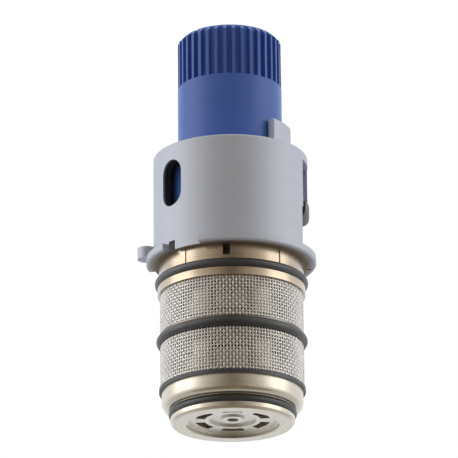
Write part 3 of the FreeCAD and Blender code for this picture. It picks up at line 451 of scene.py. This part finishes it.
# Strainers: sleeves of plain-woven stainless wire cloth, slipped over the brass body's lands. Every
# upright wire passes in front of one level wire and behind the next.
def build_weave_tree():
    tree = bpy.data.node_groups.new("wire_cloth", "GeometryNodeTree")
    for label, kind in (
        ("Radius", "Float"), ("Bottom", "Float"), ("Height", "Float"), ("Upright Wires", "Int"),
        ("Level Wires", "Int"), ("Wire Radius", "Float"), ("Wire Material", "Material"),
        ("Geometry", "Geometry"),
    ):
        tree.interface.new_socket(label, in_out="INPUT", socket_type="NodeSocket" + kind)
    tree.interface.new_socket("Geometry", in_out="OUTPUT", socket_type="NodeSocketGeometry")
    start = new_node(tree, "NodeGroupInput").outputs
    end = new_node(tree, "NodeGroupOutput").inputs

    def calc(operation, first, second=None):
        return maths(tree, operation, first, second)

    def join_axes(x, y, z):
        node = new_node(tree, "ShaderNodeCombineXYZ")
        for socket, value in zip(node.inputs, (x, y, z)):
            feed(tree, socket, value)
        return node.outputs[0]

    index = new_node(tree, "GeometryNodeInputIndex").outputs[0]
    gap = calc("DIVIDE", start["Height"], start["Level Wires"])
    turn = calc("DIVIDE", 2 * math.pi, start["Upright Wires"])

    def weave(per_wire, wires, angle, height, side, cyclic):
        """A set of wires: points laid out by index, lifted off the sleeve to one side or the other."""
        line = new_node(tree, "GeometryNodeMeshLine")
        feed(tree, line.inputs["Count"], calc("MULTIPLY", per_wire, wires))
        cloud = new_node(tree, "GeometryNodeMeshToPoints")
        feed(tree, cloud.inputs["Mesh"], line.outputs["Mesh"])
        radius = calc("ADD", start["Radius"], calc("MULTIPLY", side, start["Wire Radius"]))
        x = calc("MULTIPLY", radius, calc("COSINE", angle))
        y = calc("MULTIPLY", radius, calc("SINE", angle))
        put = new_node(tree, "GeometryNodeSetPosition")
        feed(tree, put.inputs["Geometry"], cloud.outputs["Points"])
        feed(tree, put.inputs["Position"], join_axes(x, y, height))
        wire = calc("FLOOR", calc("DIVIDE", index, per_wire))
        curves = new_node(tree, "GeometryNodePointsToCurves")
        feed(tree, curves.inputs["Points"], put.outputs["Geometry"])
        feed(tree, curves.inputs["Curve Group ID"], wire)
        feed(tree, curves.inputs["Weight"], index)
        closed = new_node(tree, "GeometryNodeSetSplineCyclic")
        feed(tree, closed.inputs["Geometry"], curves.outputs[0])
        closed.inputs["Cyclic"].default_value = cyclic
        return closed.outputs[0]

    # upright wires have two points to a level wire, and one more at the top
    tall = calc("ADD", calc("MULTIPLY", start["Level Wires"], 2), 1)
    wire = calc("FLOOR", calc("DIVIDE", index, tall))
    step = calc("MODULO", index, tall)
    phase = calc("ADD", step, calc("MULTIPLY", wire, 2))
    side = calc("SINE", calc("MULTIPLY", phase, math.pi / 2))
    angle = calc("MULTIPLY", wire, turn)
    height = calc("ADD", start["Bottom"], calc("MULTIPLY", step, calc("MULTIPLY", gap, 0.5)))
    uprights = weave(tall, start["Upright Wires"], angle, height, side, cyclic=False)

    # level wires have two points to an upright wire, and lie on its other side at each crossing
    long = calc("MULTIPLY", start["Upright Wires"], 2)
    wire = calc("FLOOR", calc("DIVIDE", index, long))
    step = calc("MODULO", index, long)
    phase = calc("ADD", calc("ADD", step, calc("MULTIPLY", wire, 2)), 3)
    side = calc("SINE", calc("MULTIPLY", phase, math.pi / 2))
    angle = calc("MULTIPLY", step, calc("MULTIPLY", turn, 0.5))
    height = calc("ADD", start["Bottom"], calc("MULTIPLY", gap, calc("ADD", wire, 0.5)))
    levels = weave(long, start["Level Wires"], angle, height, side, cyclic=True)

    both = new_node(tree, "GeometryNodeJoinGeometry")
    feed(tree, both.inputs[0], uprights)
    feed(tree, both.inputs[0], levels)
    section = new_node(tree, "GeometryNodeCurvePrimitiveCircle")
    section.inputs["Resolution"].default_value = 6
    feed(tree, section.inputs["Radius"], start["Wire Radius"])
    tubes = new_node(tree, "GeometryNodeCurveToMesh")
    feed(tree, tubes.inputs["Curve"], both.outputs[0])
    feed(tree, tubes.inputs["Profile Curve"], section.outputs["Curve"])
    tubes.inputs["Fill Caps"].default_value = True
    smooth = new_node(tree, "GeometryNodeSetShadeSmooth")
    feed(tree, smooth.inputs["Geometry"], tubes.outputs["Mesh"])
    real = new_node(tree, "GeometryNodeRealizeInstances")
    feed(tree, real.inputs["Geometry"], smooth.outputs["Geometry"])
    paint = new_node(tree, "GeometryNodeSetMaterial")
    feed(tree, paint.inputs["Geometry"], real.outputs["Geometry"])
    feed(tree, paint.inputs["Material"], start["Wire Material"])
    feed(tree, end["Geometry"], paint.outputs["Geometry"])
    return tree


def grow_piece(name, tree, values):
    """Runs a node tree on an empty mesh and keeps its result as a plain mesh."""
    carrier = bpy.data.objects.new(name + "_tree", bpy.data.meshes.new(name + "_tree"))
    bpy.context.scene.collection.objects.link(carrier)
    modifier = carrier.modifiers.new("grow", "NODES")
    modifier.node_group = tree
    for item in tree.interface.items_tree:
        if item.in_out == "INPUT" and item.name in values:
            modifier[item.identifier] = values[item.name]
    bpy.context.view_layer.update()
    graph = bpy.context.evaluated_depsgraph_get()
    mesh = bpy.data.meshes.new_from_object(carrier.evaluated_get(graph))
    mesh.name = name
    bpy.data.objects.remove(carrier)
    piece = bpy.data.objects.new(name, mesh)
    bpy.context.scene.collection.objects.link(piece)
    return piece


def vector_maths(tree, operation, first, second=None):
    """One Vector Math node. Its inputs are tuples or sockets."""
    node = new_node(tree, "ShaderNodeVectorMath", operation=operation)
    feed(tree, node.inputs[0], first)
    if second is not None:
        feed(tree, node.inputs[1], second)
    return node.outputs[0]


def make_wire_steel():
    material, tree, shader = new_material("wire_steel", metallic=1.0)
    grain = place_grain(tree, fine=5000.0, broad=250.0)
    color = blend_tones(tree, grain["Tone"], (0.64, 0.62, 0.585), (0.74, 0.72, 0.685))
    feed(tree, shader.inputs["Base Color"], color)
    feed(tree, shader.inputs["Roughness"], spread(tree, grain["Height"], 0.36, 0.48))
    # the cloth is rolled flat, so its wires catch the light much as the whole sleeve does
    coordinates = new_node(tree, "ShaderNodeTexCoord")
    level = vector_maths(tree, "MULTIPLY", coordinates.outputs["Object"], (1, 1, 0))
    outwards = vector_maths(tree, "NORMALIZE", level)
    surface = new_node(tree, "ShaderNodeNewGeometry")
    between = vector_maths(tree, "ADD", surface.outputs["Normal"], outwards)
    feed(tree, shader.inputs["Normal"], vector_maths(tree, "NORMALIZE", between))
    return material


wire_radius = 0.00013
upright_wires = 138
level_wires = 13
wire_steel = make_wire_steel()
weave_tree = build_weave_tree()
for strainer in ("upper_strainer", "lower_strainer"):
    low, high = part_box(strainer)
    # the wires reach two of their radii outside the sleeve's middle
    cloth = grow_piece(strainer + "_cloth", weave_tree, {
        "Radius": high.x - 2 * wire_radius,
        "Bottom": low.z,
        "Height": high.z - low.z,
        "Upright Wires": upright_wires,
        "Level Wires": level_wires,
        "Wire Radius": wire_radius,
        "Wire Material": wire_steel,
    })
    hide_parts(strainer)
    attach(cloth, "housing")


# Seals: rings of black rubber, stretched into the brass body's grooves, with a flat washer under the
# lower strainer and two small rings inside. They have the dull, slightly dusty skin of moulded rubber.
def make_seal_rubber():
    material, tree, shader = new_material("seal_rubber")
    shader.inputs["Specular IOR Level"].default_value = 1.0
    shader.inputs["Sheen Weight"].default_value = 0.15
    shader.inputs["Sheen Roughness"].default_value = 0.5
    grain = place_grain(tree, fine=3000.0, broad=150.0)
    color = blend_tones(tree, grain["Tone"], (0.006, 0.006, 0.006), (0.012, 0.012, 0.012))
    feed(tree, shader.inputs["Base Color"], color)
    feed(tree, shader.inputs["Roughness"], spread(tree, grain["Tone"], 0.38, 0.55))
    add_bump(tree, shader, grain["Height"], depth=0.00002, strength=0.4)
    return material


seal_rubber = make_seal_rubber()
dress(["body_seal", "middle_seal", "outlet_seal"], seal_rubber)
dress(["lower_washer", "stem_seal", "slide_seal"], seal_rubber)


# Guide sleeve and slip ring: moulded in dark grey plastic. The sleeve is pushed up into the shell
# until its snap catches in the larger window. The ring lies between the spindle's collar and the top.
def make_dark_plastic():
    material, tree, shader = new_material("dark_plastic", roughness=0.45)
    grain = place_grain(tree, fine=2500.0, broad=120.0)
    color = blend_tones(tree, grain["Tone"], (0.070, 0.074, 0.078), (0.095, 0.098, 0.102))
    feed(tree, shader.inputs["Base Color"], color)
    add_bump(tree, shader, grain["Height"], depth=0.00002, strength=0.35)
    return material


dress(["guide_sleeve", "slip_ring"], make_dark_plastic())


# Springs, plunger clip and push pin: wound, stamped and ground from spring steel. The overload spring
# holds the plunger down on its clip in the nut, the pin passes the plunger's push to the wax element,
# and the return spring lifts the slide.
def make_spring_steel():
    material, tree, shader = new_material("spring_steel", metallic=1.0)
    grain = place_grain(tree, fine=5000.0, broad=300.0)
    color = blend_tones(tree, grain["Tone"], (0.50, 0.50, 0.51), (0.64, 0.64, 0.65))
    feed(tree, shader.inputs["Base Color"], color)
    feed(tree, shader.inputs["Roughness"], spread(tree, grain["Height"], 0.22, 0.36))
    return material


dress(["return_spring", "overload_spring", "plunger_clip", "push_pin"], make_spring_steel())

# each spring gets its own copy of its mesh; the table lists its joint, that joint's travel and the end
# that it
# stands on: 0 is its lower end, and 1 its upper one
for spring, joint, travel, fixed_end in (
    ("overload_spring", "overload_travel", 0.0012, 1),
    ("return_spring", "mixing_stroke", 0.0004, 0),
):
    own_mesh(nodes[spring])


# Wax element: a bulb, flange and stem in one, drawn from copper alloy and slightly tarnished. It stands
# in the mixing slide and is guided by its stem.
def make_element_copper():
    material, tree, shader = new_material("element_copper", metallic=1.0, roughness=0.32)
    grain = place_grain(tree, fine=3000.0, broad=350.0)
    color = blend_tones(tree, grain["Tone"], (0.50, 0.27, 0.15), (0.72, 0.42, 0.26))
    feed(tree, shader.inputs["Base Color"], color)
    add_bump(tree, shader, grain["Height"], depth=0.00001, strength=0.4)
    return material


dress(["wax_element"], make_element_copper())
